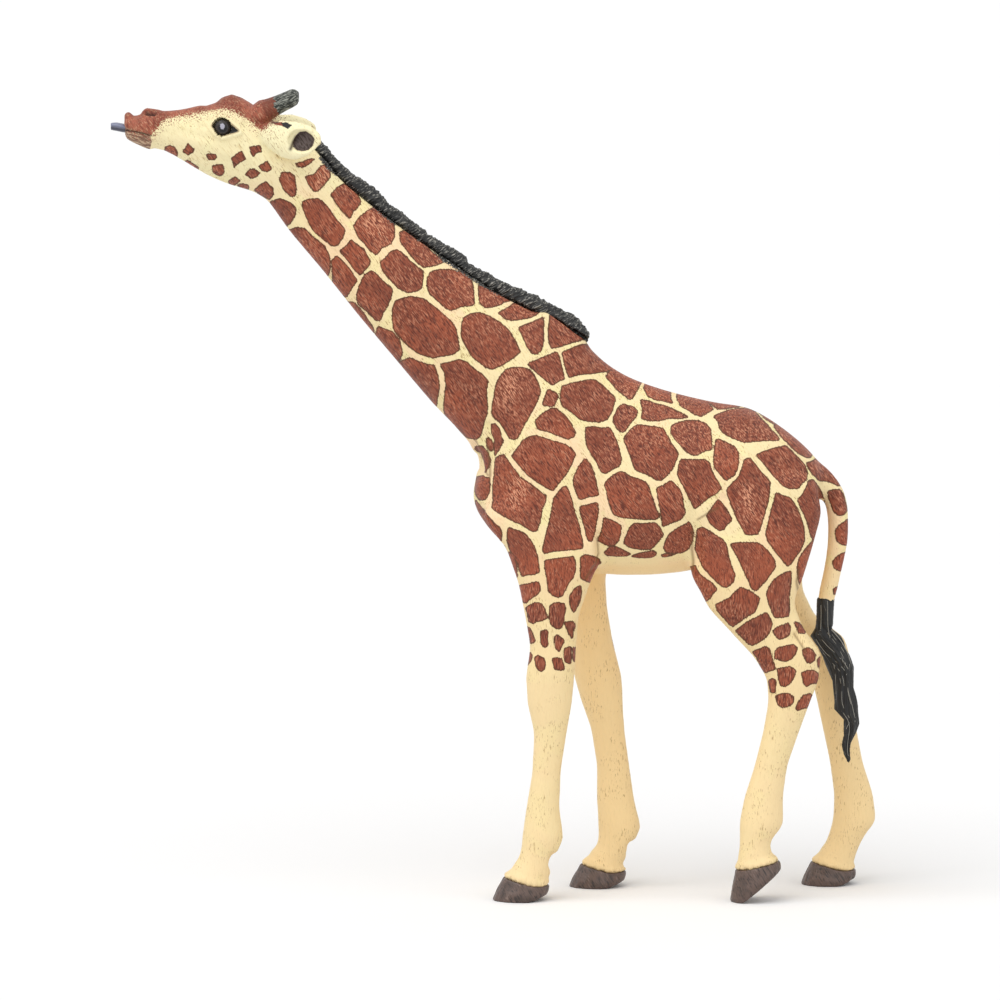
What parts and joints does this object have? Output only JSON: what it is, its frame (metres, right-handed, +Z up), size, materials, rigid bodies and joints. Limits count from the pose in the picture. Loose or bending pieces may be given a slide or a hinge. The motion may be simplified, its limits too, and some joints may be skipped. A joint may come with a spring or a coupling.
{
  "type": "giraffe figurine",
  "caption": "Standing giraffe figurine of painted moulded plastic, neck and head stretched up and forward, tongue out, resting on three flat hooves and the toe of the fourth.",
  "frame": {"origin": "on the ground, under the middle of the figure's box", "axes": "+Z up; the nose points to -X, so the animal's left side faces -Y and its right side +Y"},
  "size_m": [0.1658, 0.0323, 0.1738],
  "materials": {
    "coat": "hand-painted cream with red-brown patches, matt",
    "horn": "painted red-brown with black hair at the tip, matt",
    "hair": "painted black with dry-brushed grey strands, satin",
    "hoof": "painted dark grey-brown, satin",
    "eye": "gloss black",
    "tongue": "grey-blue, satin gloss"
  },
  "bodies": {
    "root": {"trunk": "coat", "neck": "coat", "head": "coat", "left_ear": "coat", "right_ear": "coat", "left_ossicone": "horn", "right_ossicone": "horn", "left_eye": "eye", "right_eye": "eye", "tongue": "tongue", "mane": "hair", "left_foreleg": "coat", "right_foreleg": "coat", "left_hind_leg": "coat", "right_hind_leg": "coat", "left_fore_hoof": "hoof", "right_fore_hoof": "hoof", "left_hind_hoof": "hoof", "right_hind_hoof": "hoof", "tail": "coat", "tail_tuft": "hair"}
  },
  "joints": []
}
